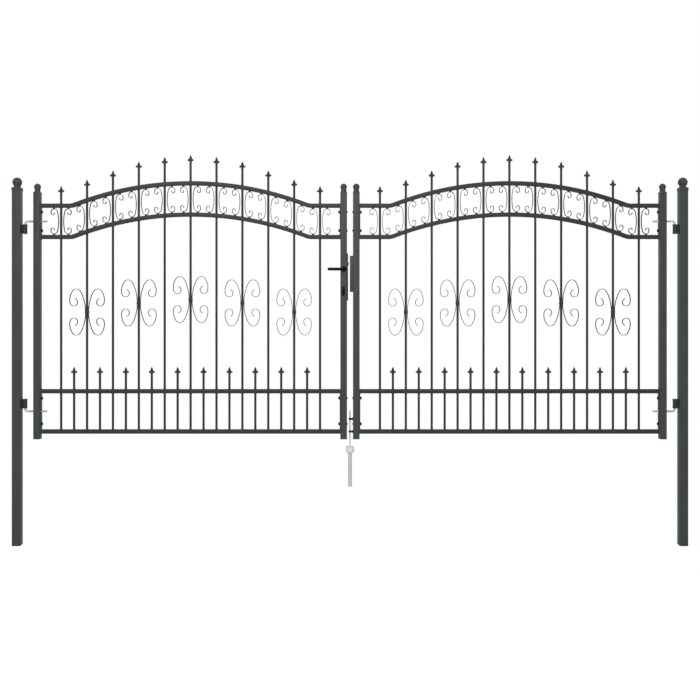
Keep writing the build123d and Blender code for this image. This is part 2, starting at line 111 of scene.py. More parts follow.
def powder_coat(name, colour, roughness, gloss, peel=0.2):
    """Baked powder coat: orange peel about a millimetre across, a fine grain and the spray gun's drift."""
    grain_per_metre, peel_per_metre, drift_per_metre = 1500, 650, 7
    darkest, palest = 0.80, 1.40
    coat = bpy.data.materials.new(name)
    coat.use_nodes = True
    tree = coat.node_tree
    skin = tree.nodes["Principled BSDF"]
    place = tree.nodes.new("ShaderNodeTexCoord")

    def noise(scale, detail):
        node = tree.nodes.new("ShaderNodeTexNoise")
        node.inputs["Scale"].default_value = scale
        node.inputs["Detail"].default_value = detail
        tree.links.new(place.outputs["Object"], node.inputs["Vector"])
        return node.outputs["Fac"]

    def shade(value, low, high):
        node = tree.nodes.new("ShaderNodeMapRange")
        node.inputs["From Min"].default_value = 0.3
        node.inputs["From Max"].default_value = 0.7
        node.inputs["To Min"].default_value = low
        node.inputs["To Max"].default_value = high
        tree.links.new(value, node.inputs["Value"])
        return node.outputs["Result"]

    def times(first, second):
        node = tree.nodes.new("ShaderNodeMath")
        node.operation = "MULTIPLY"
        tree.links.new(first, node.inputs[0])
        tree.links.new(second, node.inputs[1])
        return node.outputs["Value"]

    grain = noise(grain_per_metre, 2)
    drift = noise(drift_per_metre, 4)
    tint = tree.nodes.new("ShaderNodeMix")
    tint.data_type = "RGBA"
    tint.inputs[6].default_value = (*[darkest * c for c in colour], 1)
    tint.inputs[7].default_value = (*[palest * c for c in colour], 1)
    tree.links.new(times(shade(grain, 0.6, 1.0), shade(drift, 0.3, 0.7)), tint.inputs[0])
    tree.links.new(tint.outputs[2], skin.inputs["Base Color"])
    tree.links.new(shade(drift, roughness - 0.05, roughness + 0.05), skin.inputs["Roughness"])
    bump = tree.nodes.new("ShaderNodeBump")
    bump.inputs["Strength"].default_value = peel
    bump.inputs["Distance"].default_value = 0.0004
    tree.links.new(noise(peel_per_metre, 1), bump.inputs["Height"])
    tree.links.new(bump.outputs["Normal"], skin.inputs["Normal"])
    skin.inputs["Specular IOR Level"].default_value = gloss
    return coat


def piece(name, body, finish, slot, shapes, *nodes, crease=35):
    """One piece of the gate from its shapes, finished, riding on its body and standing for its nodes."""
    points, faces = [], []
    for more_points, more_faces in shapes:
        start = len(points)
        points += more_points
        faces += [tuple(start + i for i in face) for face in more_faces]
    mesh = bpy.data.meshes.new(name)
    mesh.from_pydata(points, [], faces)
    work = bmesh.new()
    work.from_mesh(mesh)
    bmesh.ops.recalc_face_normals(work, faces=work.faces)
    work.to_mesh(mesh)
    work.free()
    mesh.shade_smooth()
    mesh.set_sharp_from_angle(angle=radians(crease))
    mesh.materials.append(finish)
    made = bpy.data.objects.new(name, mesh)
    bpy.context.scene.collection.objects.link(made)
    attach(made, body)
    if nodes:
        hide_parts(*nodes)
    return made


frame_coat = powder_coat("grey_green_powder_coat", (0.041, 0.049, 0.046), 0.40, 0.20)
sides = ("left", "right")
post_corner = 0.0035
tube_wall = 0.002
post_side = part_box("left_post")[1].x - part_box("left_post")[0].x
post_xs = {}
for name in sides:
    low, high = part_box(f"{name}_post")
    post_xs[name] = (low.x + high.x) / 2
    tube = square_tube(post_side, post_corner, tube_wall, low.z, high.z, post_xs[name])
    piece(f"{name}_post_tube", "posts", frame_coat, "frame_paint", [tube], f"{name}_post")


# Foot plugs of the posts
# Black plastic plugs, pushed up into the posts' lower ends. A flat head with an eased edge
# covers the cut end of the tube, and a ribbed spigot grips its inside.

def foot_plug(side, corner, x, foot, head, top):
    """A plug's head with its eased edge, and the ribbed spigot above it."""
    ease, rib, ribs, spigot_corner = 0.0008, 0.0006, 4, 0.002
    outline = rounded(side, side, corner)
    eased = rounded(side - 2 * ease, side - 2 * ease, corner - ease)
    plate = skinned([level(eased, foot, x), level(outline, foot + ease, x), level(outline, foot + head, x)])
    rings, tall = [], (top - foot - head) / ribs
    for i in range(ribs):
        for share, slim in ((0.0, rib), (0.5, rib), (0.55, 0.0), (0.95, 0.0)):
            inside = side - 2 * tube_wall - plug_fit - 2 * slim
            rings.append(level(rounded(inside, inside, spigot_corner), foot + head + tall * (i + share), x))
    return [plate, skinned(rings)]


plug_fit = 0.0004
plug_black = powder_coat("black_plug_plastic", (0.012, 0.013, 0.013), 0.58, 0.15, peel=0.18)
low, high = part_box("post_plugs")
plug_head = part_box("left_post")[0].z - low.z
plugs = []
for x in post_xs.values():
    plugs += foot_plug(post_side, post_corner, x, low.z, plug_head, high.z)
piece("post_foot_plugs", "posts", plug_black, "plug_black", plugs, "post_plugs")


# Ball caps of the posts
# Pressed steel caps, coated with the posts and pushed over their tops. A square collar widens
# upwards, and a round neck carries a hollow ball, 57 mm across.

def spun(profile, x=0.0, z=0.0, axis="Z", count=48, hollow=False):
    """A turned piece, from half widths and distances along its axis, some of them with flats."""
    rings = []
    for half, run, *flats in profile:
        ring = []
        for i in range(count):
            turn = 2 * pi * i / count
            wide = half
            if flats:
                part = pi / flats[0]
                wide = half / cos((turn + part) % (2 * part) - part)
            u, v = wide * cos(turn), wide * sin(turn)
            offset = {"X": (run, u, v), "Y": (v, run, u), "Z": (u, v, run)}[axis]
            ring.append(Vector((x, 0, z)) + Vector(offset))
        rings.append(ring)
    return skinned(rings, round_and_round=hollow)


def ball_profile(foot_radius, neck, ball, tall):
    """A flared foot, a neck and a ball, up to a height."""
    flare_steps, ball_steps, pole = 8, 26, 0.0002
    reach = sqrt(ball**2 - neck**2)
    neck_tall = tall - ball - reach
    profile = []
    for step in range(flare_steps + 1):
        share = step / flare_steps
        flare = (foot_radius - neck) * (1 - sin(share * pi / 2)) ** 1.5
        profile.append((neck + flare, neck_tall * share))
    first = -asin(reach / ball)
    for step in range(1, ball_steps + 1):
        turn = first + (pi / 2 - first) * step / ball_steps
        profile.append((max(ball * cos(turn), pole), neck_tall + reach + ball * sin(turn)))
    return profile


low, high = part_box("post_caps")
post_ball = 0.0285
post_neck = 0.020
neck_flare = 0.0035
collar_corner = 0.005
collar = ((0.0522, 0.0), (0.0546, 0.0120), (0.0550, 0.0138))
collar += ((0.0550, 0.0170), (0.0542, 0.0184), (0.0492, 0.0210))
collar_top = low.z + collar[-1][1]
caps = []
for x in post_xs.values():
    rings = [level(rounded(side, side, collar_corner), low.z + rise, x) for side, rise in collar]
    ball = ball_profile(post_neck + neck_flare, post_neck, post_ball, high.z - collar_top)
    caps += [skinned(rings), spun(ball, x, z=collar_top)]
piece("post_ball_caps", "posts", frame_coat, "frame_paint", caps, "post_caps")


# Hinge brackets
# Two black forged brackets on each post: a flat plate against the post, a web and an eye that
# the hinge pin drops into. The eye has a thicker rim at its top and bottom.

def moved(shape, x=0.0, z=0.0):
    """A shape carried to another place."""
    points, faces = shape
    return [point + Vector((x, 0, z)) for point in points], faces


def on_side(shapes, side_name):
    """Shapes made for the right-hand side of the gate, kept there or mirrored to the left."""
    if side_name == "right":
        return shapes
    mirrored = []
    for points, faces in shapes:
        mirrored.append(([Vector((2 * gate_middle - p.x, p.y, p.z)) for p in points], faces))
    return mirrored


def eased_block(width, depth, tall, corner):
    """A block with rounded upright corners and eased edges, about a point."""
    ease = 0.0008
    slim = rounded(width - 2 * ease, depth - 2 * ease, max(corner - ease, 0.0003))
    full, half = rounded(width, depth, corner), tall / 2
    layers = ((slim, -half), (full, ease - half), (full, half - ease), (slim, half))
    return skinned([level(outline, z) for outline, z in layers])


def eye_ring(outer, bore, tall, rim, rim_tall):
    """A bored eye with a thicker rim at each end."""
    half, ease, waist = tall / 2, 0.0006, outer - rim
    profile = [(bore, -half), (outer - ease, -half), (outer, ease - half), (outer, rim_tall - half)]
    profile += [(waist, rim_tall + rim / 2 - half), (waist, half - rim_tall - rim / 2)]
    profile += [(outer, half - rim_tall), (outer, half - ease), (outer - ease, half), (bore, half)]
    return spun(profile, hollow=True)


bracket_coat = powder_coat("dark_bracket_coat", (0.030, 0.032, 0.031), 0.44, 0.20, peel=0.14)
gate_middle = (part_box("left_post")[0].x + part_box("right_post")[1].x) / 2
pin_offset = 0.023
bracket_tall = 0.056
back_plate, back_plate_width = 0.004, 0.040
web_long, web_thick, web_x, web_short = 0.0135, 0.0115, 0.0145, 0.004
pin_x = post_xs["right"] - post_side / 2 - pin_offset
low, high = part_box("right_brackets")
eye = eye_ring(outer=0.0135, bore=0.00625, tall=bracket_tall, rim=0.0014, rim_tall=0.007)
web = eased_block(web_long, web_thick, bracket_tall - web_short, corner=0.002)
plate = eased_block(back_plate, back_plate_width, bracket_tall, corner=0.0012)
brackets = []
for z in (low.z + bracket_tall / 2, high.z - bracket_tall / 2):
    brackets.append(moved(eye, x=pin_x, z=z))
    brackets.append(moved(web, x=pin_x + web_x, z=z))
    brackets.append(moved(plate, x=pin_x + pin_offset - back_plate / 2, z=z))
for name in sides:
    piece(f"{name}_hinge_brackets", "posts", bracket_coat, "bracket_black", on_side(brackets, name),
          f"{name}_brackets")


# Ground socket
# The drop bolt's socket, set in the ground: an eight-sided head of bright cast zinc with
# chamfered edges and a wide mouth, pressed on a closed tube of zinc-dipped steel.

def zinc_coat(name, colour, roughness, flake, metal):
    """Zinc on steel: crystals of a size with their own gloss, and faint clouding."""
    coat = powder_coat(name, colour, roughness, 0.5, peel=0.06)
    tree = coat.node_tree
    skin = tree.nodes["Principled BSDF"]
    place = next(node for node in tree.nodes if node.type == "TEX_COORD")
    crystal = tree.nodes.new("ShaderNodeTexVoronoi")
    crystal.inputs["Scale"].default_value = flake
    tree.links.new(place.outputs["Object"], crystal.inputs["Vector"])
    spread = tree.nodes.new("ShaderNodeMapRange")
    spread.inputs["To Min"].default_value = roughness - 0.09
    spread.inputs["To Max"].default_value = roughness + 0.09
    tree.links.new(crystal.outputs["Color"], spread.inputs["Value"])
    tree.links.new(spread.outputs["Result"], skin.inputs["Roughness"])
    skin.inputs["Metallic"].default_value = metal
    return coat


galvanised = zinc_coat("galvanised_steel", (0.50, 0.50, 0.50), 0.62, 160, 0.2)
cast_zinc = zinc_coat("bright_cast_zinc", (0.66, 0.66, 0.66), 0.66, 240, 0.1)
low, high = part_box("ground_socket")
tube, bore, mouth, floor_thick = 0.012, 0.008, 0.013, 0.008
head, head_tall, edge, sides_round = (high.x - low.x) / 2, 0.041, 0.009, 8
shoulder = high.z - head_tall
tube_edge, tube_in_head = 0.001, 0.004
tube_top = shoulder + tube_in_head
profile = [(tube - tube_edge, low.z), (tube, low.z + tube_edge), (tube, tube_top), (bore, tube_top)]
profile.append((bore, low.z + floor_thick))
piece("drop_bolt_socket_tube", "posts", galvanised, "galvanised_steel", [spun(profile, gate_middle)],
      "ground_socket", crease=25)
seat_fit, seat_room = 0.0001, 0.0002
seat, seat_top = tube + seat_fit, tube_top + seat_room
profile = [(seat, shoulder), (head - edge, shoulder, sides_round), (head, shoulder + edge, sides_round)]
profile += [(head, high.z - edge, sides_round), (head - edge, high.z, sides_round), (mouth, high.z)]
profile += [(bore, high.z - mouth + bore), (bore, seat_top), (seat, seat_top)]
piece("drop_bolt_socket_head", "posts", cast_zinc, "galvanised_steel",
      [spun(profile, gate_middle, hollow=True)], crease=25)


# Leaf stiles
# Each leaf has two upright stiles of 40 mm square tube with a 2 mm wall, coated like the posts.
# The hinge stile is drilled for the hinge rods and the left leaf's lock stile is cut for the lock.

stile_side = 0.040
stile_corner = 0.003
stile_xs = {}
for name in sides:
    for edge_name in ("hinge", "lock"):
        low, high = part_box(f"{name}_{edge_name}_stile")
        x = stile_xs[name, edge_name] = (low.x + high.x) / 2
        tube = square_tube(stile_side, stile_corner, tube_wall, low.z, high.z, x)
        piece(f"{name}_{edge_name}_stile_tube", f"{name}_leaf", frame_coat, "frame_paint", [tube],
              f"{name}_{edge_name}_stile")
stile_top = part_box("right_hinge_stile")[1].z
leaf_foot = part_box("right_stile_plugs")[0].z


# Foot plugs of the stiles
# The same black plastic plugs as in the posts, in the smaller size. They are pushed up into the
# stiles and cover the cut ends of the tubes.

for name in sides:
    low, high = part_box(f"{name}_stile_plugs")
    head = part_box(f"{name}_hinge_stile")[0].z - low.z
    plugs = []
    for edge_name in ("hinge", "lock"):
        plugs += foot_plug(stile_side, stile_corner, stile_xs[name, edge_name], low.z, head, high.z)
    piece(f"{name}_stile_foot_plugs", f"{name}_leaf", plug_black, "plug_black", plugs, f"{name}_stile_plugs")


# Ball caps of the stiles
# Smaller ball caps, pressed into the stiles' tops: a thin square plate chamfered to a round
# neck, with a ball of 40.5 mm.

stile_ball = 0.02025
stile_neck = 0.0170
stile_neck_flare = 0.0004
cap_plate = ((0.0412, 0.0), (0.042, 0.0006), (0.042, 0.0042), (0.0412, 0.005), (0.0345, 0.010))
neck_foot = stile_top + cap_plate[-1][1]
spigot = stile_side - 2 * tube_wall - plug_fit
for name in sides:
    low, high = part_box(f"{name}_stile_caps")
    steps = [(spigot, low.z), (spigot, stile_top)] + [(side, stile_top + rise) for side, rise in cap_plate]
    ball = ball_profile(stile_neck + stile_neck_flare, stile_neck, stile_ball, high.z - neck_foot)
    caps = []
    for edge_name in ("hinge", "lock"):
        x = stile_xs[name, edge_name]
        caps.append(skinned([level(rounded(side, side, stile_corner), z, x) for side, z in steps]))
        caps.append(spun(ball, x, z=neck_foot))
    piece(f"{name}_stile_ball_caps", f"{name}_leaf", frame_coat, "frame_paint", caps, f"{name}_stile_caps")


# End plates
# Flat plates, 4 mm thick, against the inner faces of the stiles. The rails are welded to them
# in pairs and the plates are bolted through the stiles.

def weld(half, reach, x=0.0, z=0.0, axis="Z", flats=(), tilt=0.0):
    """A fillet weld round a bar or tube where it meets a face, a little uneven like hand work."""
    sunk, count, unevenness, beads = 0.0003, 32, 0.10, 2.4
    steps = ((0.0, -0.2), (1.0, -0.2), (1.0, 0.0), (0.55, 0.28), (0.25, 0.6), (0.0, 1.0))
    profile = [(half - sunk + reach * out, reach * up, *flats) for out, up in steps]
    points, faces = spun(profile, axis=axis, count=count, hollow=True)
    placed = []
    for i, point in enumerate(points):
        if axis != "X" and i >= count:
            point = Vector((point.x * (1 + unevenness * sin(beads * (i % count))), point.y, point.z))
        placed.append(point + Vector((x, 0, z + tilt * point.x)))
    return placed, faces


rail_side = 0.025
end_plate = 0.004
end_plate_width = 0.030
plate_weld = 0.003
weld_inset = 0.0004
rail_low, rail_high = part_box("right_bottom_rail")
foot_z = {rail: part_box(f"right_{rail}")[0].z + rail_side / 2
          for rail in ("bottom_rail", "middle_rail", "arched_rail", "top_rail")}
plates = []
for low_rail, high_rail in (("bottom_rail", "middle_rail"), ("arched_rail", "top_rail")):
    tall = foot_z[high_rail] - foot_z[low_rail] + rail_side
    z = (foot_z[high_rail] + foot_z[low_rail]) / 2
    for x, inward in ((rail_low.x - end_plate / 2, 1), (rail_high.x + end_plate / 2, -1)):
        plates.append(moved(eased_block(end_plate, end_plate_width, tall, corner=0.0012), x=x, z=z))
        for rail in (low_rail, high_rail):
            points, faces = weld(rail_side / 2 - weld_inset, plate_weld, axis="X", flats=(4,))
            at = Vector((x + end_plate / 2 * inward, 0, foot_z[rail]))
            plates.append(([Vector((p.x * inward, p.y, p.z)) + at for p in points], faces))
for name in sides:
    piece(f"{name}_rail_end_plates", f"{name}_leaf", frame_coat, "frame_paint", on_side(plates, name),
          f"{name}_end_plates")


# Rails
# Four rails of 25 mm square tube in each leaf: two level ones below, and two above that are
# level at their ends and bent into one long arch.

def swept(outline, route, flat=(0, 1, 0), sizes=None):
    """A section carried along a route that lies flat across one direction."""
    flat, rings = Vector(flat), []
    for i, point in enumerate(route):
        ahead = Vector()
        if i:
            ahead += (point - route[i - 1]).normalized()
        if i < len(route) - 1:
            ahead += (route[i + 1] - point).normalized()
        across = ahead.normalized().cross(flat)
        size = sizes[i] if sizes else 1.0
        rings.append([point + across * u * size + flat * v * size for u, v in outline])
    return skinned(rings)


def arch_height(x):
    """How far the arch has risen at a distance from the leaf's middle."""
    x = abs(x)
    if x >= arch_end:
        return 0.0
    if x > arch_tangent:
        return arch_bend - sqrt(arch_bend**2 - (arch_end - x) ** 2)
    return arch_rise - arch_radius + sqrt(arch_radius**2 - x**2)


def arch_slope(x):
    """The arch's slope at a distance from the leaf's middle."""
    near = 0.0005
    return (arch_height(x + near) - arch_height(x - near)) / (2 * near)


lattice_coat = powder_coat("dark_lattice_powder_coat", (0.029, 0.031, 0.031), 0.42, 0.17)
arch_rise = 0.135
arch_radius = 1.950
arch_bend = 0.090
arch_end = sqrt(2 * arch_rise * (arch_radius + arch_bend) - arch_rise**2)
arch_tangent = arch_end * arch_radius / (arch_radius + arch_bend)
leaf_xs = {name: sum(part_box(f"{name}_bottom_rail")[i].x for i in (0, 1)) / 2 for name in sides}
half_rail = (rail_high.x - rail_low.x) / 2
bend_steps, arch_steps = 8, 30
bend_part = (arch_end - arch_tangent) / bend_steps
half_route = [half_rail] + [arch_end - bend_part * i for i in range(bend_steps + 1)]
half_route += [arch_tangent * (1 - i / arch_steps) for i in range(1, arch_steps + 1)]
arch_xs = [-x for x in half_route] + list(reversed(half_route))[1:]
rail_outline = rounded(rail_side, rail_side, 0.0022)
for name in sides:
    for rail, z in foot_z.items():
        curved = rail in ("arched_rail", "top_rail")
        run = arch_xs if curved else (-half_rail, half_rail)
        route = [Vector((leaf_xs[name] + x, 0, z + (arch_height(x) if curved else 0))) for x in run]
        piece(f"{name}_{rail}_tube", f"{name}_leaf", lattice_coat, "lattice_paint",
              [swept(rail_outline, route)], f"{name}_{rail}")


# Bars
# Round bars, 14 mm thick, welded to the bottom rail and to each rail they pass through: eleven
# tall ones, and ten short ones between them that end above the middle rail.

def bar(x, low, high, rail_crossings):
    """A round bar with its welds, each crossing a rail's middle height and slope."""
    half = bar_across / 2
    shapes = [spun([(half, low), (half, high)], x, count=24), weld(half, bar_weld, x, z=low)]
    for z, slope in rail_crossings:
        step = rail_side / 2 * sqrt(1 + slope**2)
        shapes.append(weld(half, bar_weld, x, z=z + step, tilt=slope))
        points, faces = weld(half, bar_weld)
        under = [Vector((x + p.x, p.y, z - step - p.z + slope * p.x)) for p in points]
        shapes.append((under, faces))
    return shapes


bar_across = 0.014
bar_weld = 0.0032
bar_pitch = 0.156
bar_count = 11
bar_xs = [(i - (bar_count - 1) / 2) * bar_pitch for i in range(bar_count)]
short_xs = [x + bar_pitch / 2 for x in bar_xs[:-1]]
overhang = (0.140, 0.134, 0.126, 0.104, 0.095, 0.088)
short_cross_z = foot_z["middle_rail"] + 0.116
bar_foot = foot_z["bottom_rail"] + rail_side / 2
cross_zs = {}
for i, x in enumerate(bar_xs):
    cross_zs[x] = foot_z["top_rail"] + arch_height(x) + overhang[abs(i - bar_count // 2)]
point_stem = 0.014
for name in sides:
    tall_bars, short_bars = [], []
    for x in bar_xs:
        crossings = [(foot_z["middle_rail"], 0.0)]
        crossings += [(foot_z[rail] + arch_height(x), arch_slope(x)) for rail in ("arched_rail", "top_rail")]
        tall_bars += bar(leaf_xs[name] + x, bar_foot, cross_zs[x] - point_stem, crossings)
    for x in short_xs:
        crossings = [(foot_z["middle_rail"], 0.0)]
        short_bars += bar(leaf_xs[name] + x, bar_foot, short_cross_z - point_stem, crossings)
    piece(f"{name}_tall_round_bars", f"{name}_leaf", lattice_coat, "lattice_paint", tall_bars,
          f"{name}_tall_bars")
    piece(f"{name}_short_round_bars", f"{name}_leaf", lattice_coat, "lattice_paint", short_bars,
          f"{name}_short_bars")


# Spear points
# Forged points welded on the bars' tops: a round stem that swells to a four-sided head, and a
# short rounded arm at each side.

def superellipse(wide, deep, power):
    """An outline between round and diamond."""
    outline, count = [], 24
    for i in range(count):
        c, s = cos(2 * pi * i / count), sin(2 * pi * i / count)
        scale = (abs(c) ** power + abs(s) ** power) ** (-1 / power)
        outline.append((wide / 2 * scale * c, deep / 2 * scale * s))
    return outline


def spear_point():
    """A point about the middle of its cross, from heights, widths, depths and roundness in millimetres."""
    stem = ((-14, 14, 14, 2), (-11, 14.4, 14.2, 2), (-8, 15.6, 14.8, 2), (-4, 17.6, 15.6, 1.8))
    swell = ((0, 19, 16, 1.6), (4, 19.6, 16, 1.45), (7, 19.2, 15.4, 1.35), (11, 17.6, 14, 1.3))
    taper = ((15, 15.2, 12, 1.3), (19, 12.4, 10, 1.3), (23, 9.2, 7.6, 1.35), (26.5, 6.2, 5.4, 1.5))
    tip = ((29, 3.9, 3.6, 1.8), (30.5, 2.2, 2.2, 2), (31, 0.9, 0.9, 2))
    head = skinned([level(superellipse(wide / 1000, deep / 1000, power), z / 1000)
                    for z, wide, deep, power in stem + swell + taper + tip])
    arm = ((18.5, 1.2), (18.1, 3.4), (17.0, 5.2), (15.2, 6.2), (13.2, 6.5), (10.5, 6.1), (8, 5.6), (0, 5.4))
    profile = [(half / 1000, run / 1000) for run, half in arm]
    profile += [(half, -run) for half, run in reversed(profile[:-1])]
    points, faces = spun(profile, axis="X", count=24)
    flatness = 0.85
    arms = [Vector((p.x, p.y * flatness, p.z)) for p in points], faces
    return [head, arms, weld(bar_across / 2, stem_weld, z=-point_stem)]


stem_weld = 0.0016
one_point = spear_point()
for name in sides:
    tops = [(x, cross_zs[x]) for x in bar_xs] + [(x, short_cross_z) for x in short_xs]
    points_here = [moved(shape, x=leaf_xs[name] + x, z=z) for x, z in tops for shape in one_point]
    piece(f"{name}_forged_points", f"{name}_leaf", lattice_coat, "lattice_paint", points_here,
          f"{name}_spear_points")


# Frieze scrolls
# C-scrolls of 12 x 3 mm strip between the arched rails, one on each side of every bar. Each is
# bent cold, curled in at both ends and held to the rails by a small welded boss at its crowns.

def half_scroll(waist, steps):
    """Points along half a scroll: up from its waist, over the crown and round the curl."""
    x, z, heading, part = waist, 0.0, 90.0, 7.0
    points = [(x, z)]
    for size, turn in steps:
        count = max(3, round(turn / part)) if turn else 2
        length = 2 * size * sin(radians(turn / count / 2)) if turn else size / count
        for _ in range(count):
            heading -= turn / count / 2
            x += length * cos(radians(heading))
            z += length * sin(radians(heading))
            heading -= turn / count / 2
            points.append((x, z))
    return points


def c_scroll(waist, steps):
    """A scroll, the same above and below its waist, opening away from the bar."""
    upper = half_scroll(waist, steps)
    route = [(x, -z) for x, z in reversed(upper[1:])] + upper
    return swept(rounded(strip, strip_depth, strip_edge, 2), [Vector((x, 0, z)) for x, z in route])


def flipped(shape):
    """A shape mirrored left to right about its own middle."""
    points, faces = shape
    return [Vector((-p.x, p.y, p.z)) for p in points], faces


def sloped(shape, slope, at):
    """A shape leaned along the arch and set in its place."""
    points, faces = shape
    c, s = 1 / sqrt(1 + slope**2), slope / sqrt(1 + slope**2)
    return [Vector((p.x * c - p.z * s, p.y, p.x * s + p.z * c)) + at for p in points], faces


strip = 0.003
strip_depth = 0.012
strip_edge = 0.0007
frieze_waist = 0.015
frieze_shank = ((0.260, 12), (0.035, 20), (0.021, 58))
frieze_curl = ((0.0175, 90), (0.0075, 0), (0.011, 90), (0.0085, 90), (0.006, 0))
frieze_rise = foot_z["top_rail"] - foot_z["arched_rail"]
crown_x, crown_z = half_scroll(frieze_waist, frieze_shank)[-1]
crown_radius = 0.019
one_scroll = c_scroll(frieze_waist, frieze_shank + frieze_curl)
boss_tall = (frieze_rise - rail_side) / 2 - crown_z + strip / 2
boss_corner = 0.004
steps = ((-0.5, 0.0140), (-0.15, 0.0138), (0.2, 0.0128), (0.42, 0.0112), (0.5, 0.0092))
boss_points, boss_faces = skinned([level(rounded(wide, wide - 0.002, boss_corner), boss_tall * share)
                                   for share, wide in steps])
for name in sides:
    scrolls = []
    for bar_x in bar_xs:
        for side in (-1, 1):
            x = bar_x + side * crown_x
            tilt = arch_slope(x)
            z = foot_z["arched_rail"] + frieze_rise / 2 + arch_height(x)
            scrolls.append(moved(one_scroll if side > 0 else flipped(one_scroll), leaf_xs[name] + bar_x, z=z))
            for up, rail in ((1, "top_rail"), (-1, "arched_rail")):
                foot_x = x - up * crown_radius * tilt / sqrt(1 + tilt**2)
                slope = arch_slope(foot_x)
                at = Vector((leaf_xs[name] + foot_x, 0, foot_z[rail] + arch_height(foot_x)))
                at += Vector((-slope, 0, 1)).normalized() * -up * (rail_side / 2 + boss_tall / 2)
                boss = [Vector((p.x, p.y, p.z * -up)) for p in boss_points], boss_faces
                scrolls.append(sloped(boss, slope, at))
    piece(f"{name}_arched_frieze_scrolls", f"{name}_leaf", lattice_coat, "lattice_paint", scrolls,
          f"{name}_frieze_scrolls")


# Rosettes
# Two larger C-scrolls back to back on every other tall bar, held by a pressed barrel-shaped
# collar that closes round the bar.

rosette_waist = 0.0087
rosette_steps = ((0.280, 20.9), (0.110, 17), (0.0285, 52.1), (0.026, 55), (0.098, 35))
rosette_steps += ((0.060, 20), (0.023, 70), (0.022, 90), (0.024, 72))
half_rosette = c_scroll(rosette_waist, rosette_steps)
barrel = ((-9.5, 21.6, 16.4), (-9, 22.6, 17.2), (-6, 23.9, 18.2), (-3, 24.7, 18.8), (0, 25, 19))
barrel += tuple((-z, wide, deep) for z, wide, deep in reversed(barrel[:-1]))
barrel_corner = 0.004
collar = skinned([level(rounded(wide / 1000, deep / 1000, barrel_corner), z / 1000)
                  for z, wide, deep in barrel])
middle_bar = bar_count // 2
rosette_rises = ((0, 0.839), (-2, 0.819), (2, 0.819), (-4, 0.764), (4, 0.764))
for name in sides:
    rosettes = []
    for bars_away, rise in rosette_rises:
        for shape in (half_rosette, flipped(half_rosette), collar):
            x = leaf_xs[name] + bar_xs[middle_bar + bars_away]
            rosettes.append(moved(shape, x=x, z=leaf_foot + rise))
    piece(f"{name}_bar_rosettes", f"{name}_leaf", lattice_coat, "lattice_paint", rosettes,
          f"{name}_rosettes")


# Hinge rods
# Two zinc-plated rods, 12 mm thick, through each hinge stile. Each is threaded along its
# straight part and hooked down or up, so that its pin sits in the bracket's eye.

def bent(points, radius):
    """A route whose corners are bent square to a radius."""
    route, steps = [points[0]], 12
    for before, corner, after in zip(points, points[1:], points[2:]):
        back, ahead = (before - corner).normalized(), (after - corner).normalized()
        centre = corner + (back + ahead) * radius
        for i in range(steps + 1):
            turn = pi / 2 * i / steps
            route.append(centre - ahead * radius * cos(turn) - back * radius * sin(turn))
    return route + [points[-1]]


def round_section(across, count=24):
    """Outline of a round rod."""
    turns = [2 * pi * i / count for i in range(count)]
    return [(across / 2 * cos(turn), across / 2 * sin(turn)) for turn in turns]


def thread(across, low, high):
    """Radii and distances along a threaded length with a chamfered start."""
    crest, root, chamfer, pitch = across / 2, across / 2 - 0.0009, 0.0006, 0.00175
    profile = [(crest - 2 * chamfer, low), (crest - chamfer, low + 0.0008)]
    run = low + 0.001
    while run < high - pitch:
        profile += [(root, run), (crest, run + 0.45 * pitch), (crest, run + 0.6 * pitch)]
        run += pitch
    return profile + [(crest - chamfer, high)]


zinc_steel = zinc_coat("zinc_plated_steel", (0.50, 0.50, 0.49), 0.42, 420, 0.35)
rod = 0.012
rod_bend = 0.016
pin_end = 0.078
rod_hooks = ((1.310, -1), (0.166, 1))
pin_tip = ((0.0016, 1.0), (0.0005, 0.92), (0.0, 0.72))
rod_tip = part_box("right_hinge_rods")[0].x
thread_end = stile_xs["right", "hinge"] + stile_side / 2 + 0.030
rods = []
for rise, up in rod_hooks:
    z = leaf_foot + rise
    rods.append(spun(thread(rod, rod_tip, thread_end), z=z, axis="X", count=24))
    corner = Vector((pin_x, 0, z))
    route = bent([Vector((thread_end, 0, z)), corner, corner + Vector((0, 0, up * pin_end))], rod_bend)
    route[-1:] = [corner + Vector((0, 0, up * (pin_end - back))) for back, _ in pin_tip]
    sizes = [1.0] * (len(route) - len(pin_tip)) + [size for _, size in pin_tip]
    rods.append(swept(round_section(rod), route, sizes=sizes))
for name in sides:
    piece(f"{name}_hooked_hinge_rods", f"{name}_leaf", zinc_steel, "zinc_steel", on_side(rods, name),
          f"{name}_hinge_rods")


# Rail bolts
# Black bolts through the stiles and end plates, two to a plate. Their domed heads are on the
# stile's outer face, and a washer and a nut are against the plate.

def facing_out(profile, x, z, out):
    """A turned piece that stands out from an upright face, towards one end of the gate."""
    return spun([(half, out * run, *flats) for half, run, *flats in profile], x, z=z, axis="X")


def domed_head(x, z, out):
    """A low domed bolt head with a six-sided recess."""
    dome = [(0.0075, 0.0), (0.0075, 0.0008), (0.0070, 0.0020), (0.0056, 0.0032), (0.0036, 0.0038)]
    recess = [(0.0022, 0.0040), (0.0020, 0.0040, 6), (0.0020, 0.0018, 6)]
    return facing_out(dome + recess, x, z, out)


def nut_and_washer(x, z, out):
    """A six-sided nut with the bolt's end through it, and the washer under it."""
    nut = [(0.0074, 0.0015, 6), (0.0080, 0.0020, 6), (0.0080, 0.0072, 6), (0.0074, 0.0078, 6)]
    bolt_end = [(0.0045, 0.0078), (0.0040, 0.0090), (0.0034, 0.0094)]
    washer = [(0.0082, 0.0), (0.0085, 0.0003), (0.0085, 0.0012), (0.0082, 0.0015)]
    return [facing_out(nut + bolt_end, x, z, out), facing_out(washer, x, z, out)]


